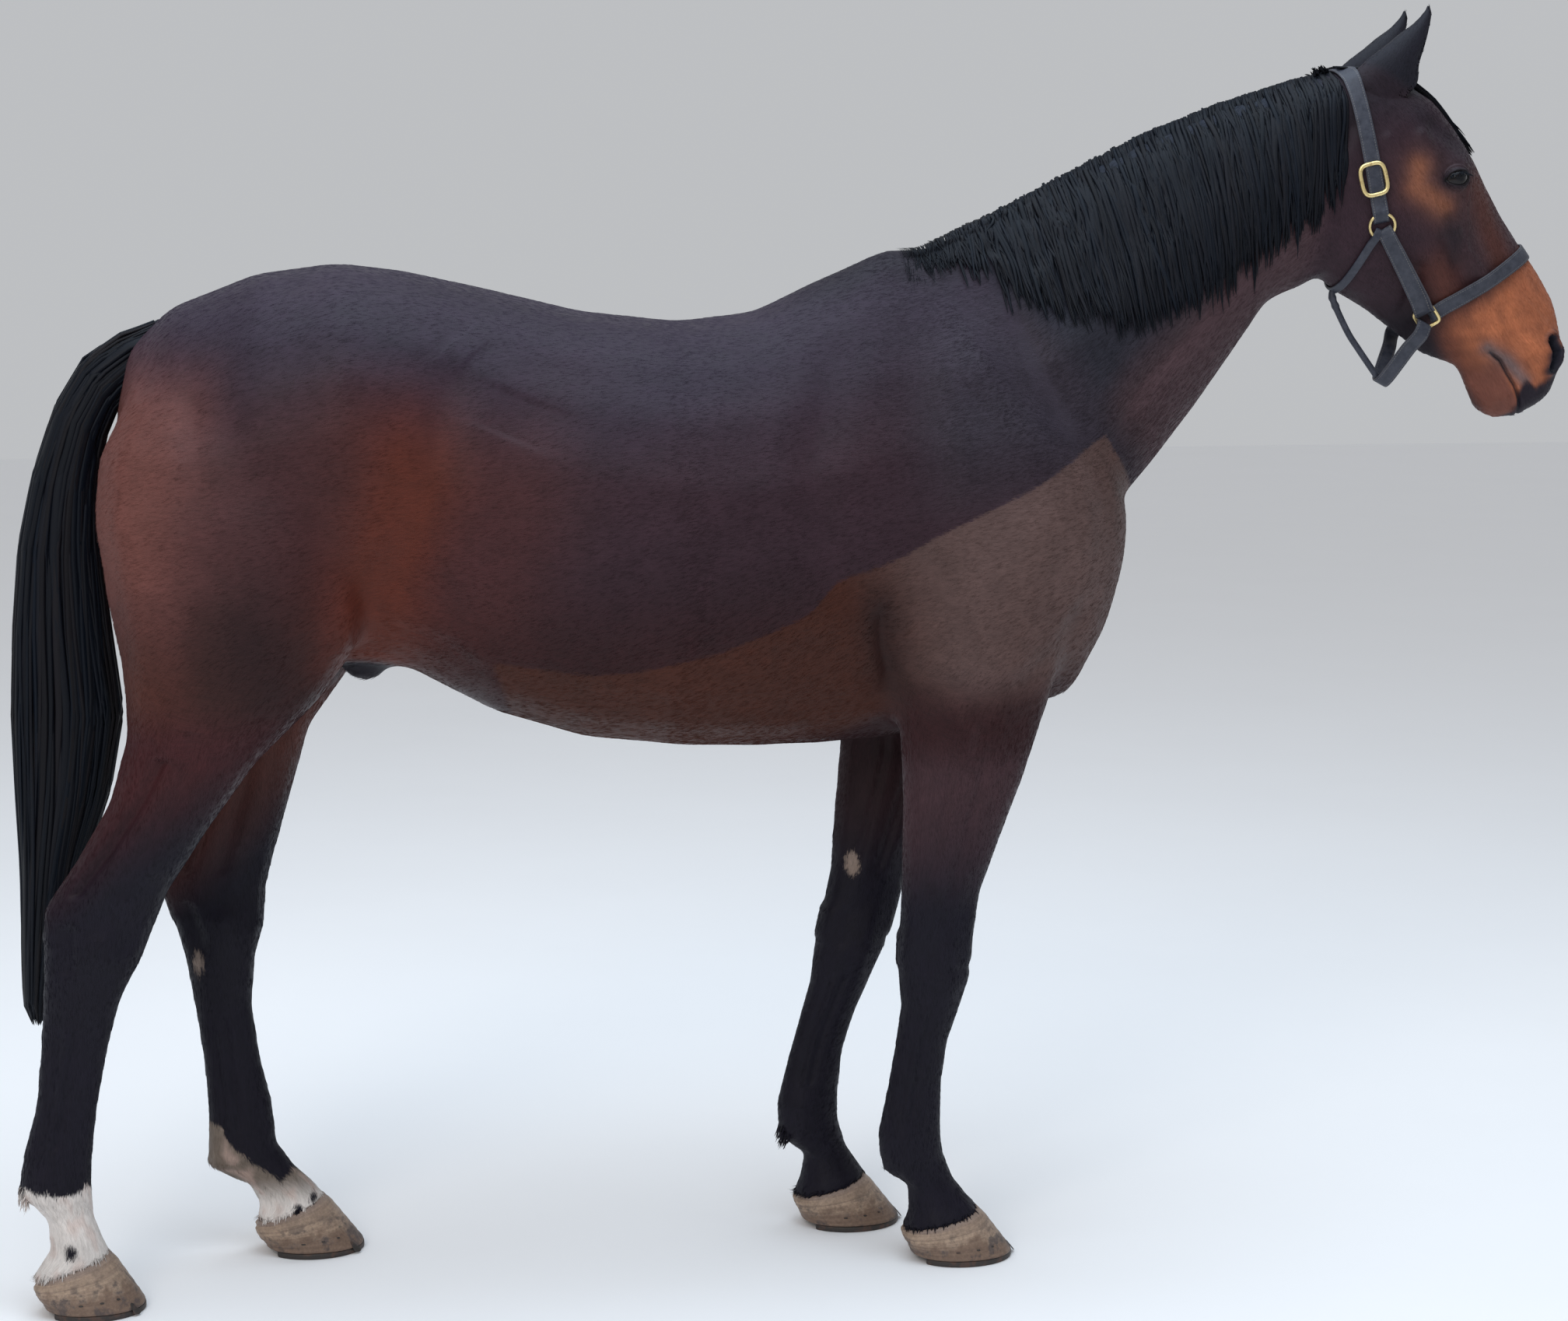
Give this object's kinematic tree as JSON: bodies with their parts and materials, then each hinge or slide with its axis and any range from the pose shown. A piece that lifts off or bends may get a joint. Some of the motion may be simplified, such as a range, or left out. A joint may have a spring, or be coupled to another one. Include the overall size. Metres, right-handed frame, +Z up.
{
  "type": "horse",
  "caption": "Life-size still model of a standing dark bay riding horse with trimmed coat, hanging mane and tail, shod hoofs and a plain leather headcollar.",
  "frame": {"origin": "on the ground, midway along and across the horse", "axes": "+X towards the nose, +Y to the horse's left, +Z up"},
  "size_m": [2.4931, 0.584, 1.997],
  "materials": {
    "coat": "short dark bay hair with a soft sheen, black lower legs",
    "hair": "long black hair in locks",
    "eye": "wet, very dark brown",
    "horn": "fawn hoof horn with growth rings",
    "iron": "worn dull steel",
    "leather": "oiled dark leather, dull blue-grey sheen",
    "brass": "polished, lightly worn"
  },
  "bodies": {
    "root": {"head": "coat", "neck": "coat", "trunk": "coat", "right_hind_upper": "coat", "right_hind_cannon": "coat", "right_hind_pastern": "coat", "left_hind_upper": "coat", "left_hind_cannon": "coat", "left_hind_pastern": "coat", "right_fore_upper": "coat", "right_fore_cannon": "coat", "right_fore_pastern": "coat", "left_fore_upper": "coat", "left_fore_cannon": "coat", "left_fore_pastern": "coat", "right_ear": "coat", "left_ear": "coat", "mane": "hair", "forelock": "hair", "tail": "hair", "right_eye": "eye", "right_hind_hoof": "horn", "right_hind_shoe": "iron", "right_fore_hoof": "horn", "right_fore_shoe": "iron", "right_cheek_strap": "leather", "right_buckle": "brass", "right_square": "brass", "right_ring": "brass", "left_eye": "eye", "left_hind_hoof": "horn", "left_hind_shoe": "iron", "left_fore_hoof": "horn", "left_fore_shoe": "iron", "left_cheek_strap": "leather", "left_buckle": "brass", "left_square": "brass", "left_ring": "brass", "crown_strap": "leather", "noseband": "leather", "throat_strap": "leather", "chin_strap": "leather", "jowl_strap": "leather"}
  },
  "joints": []
}
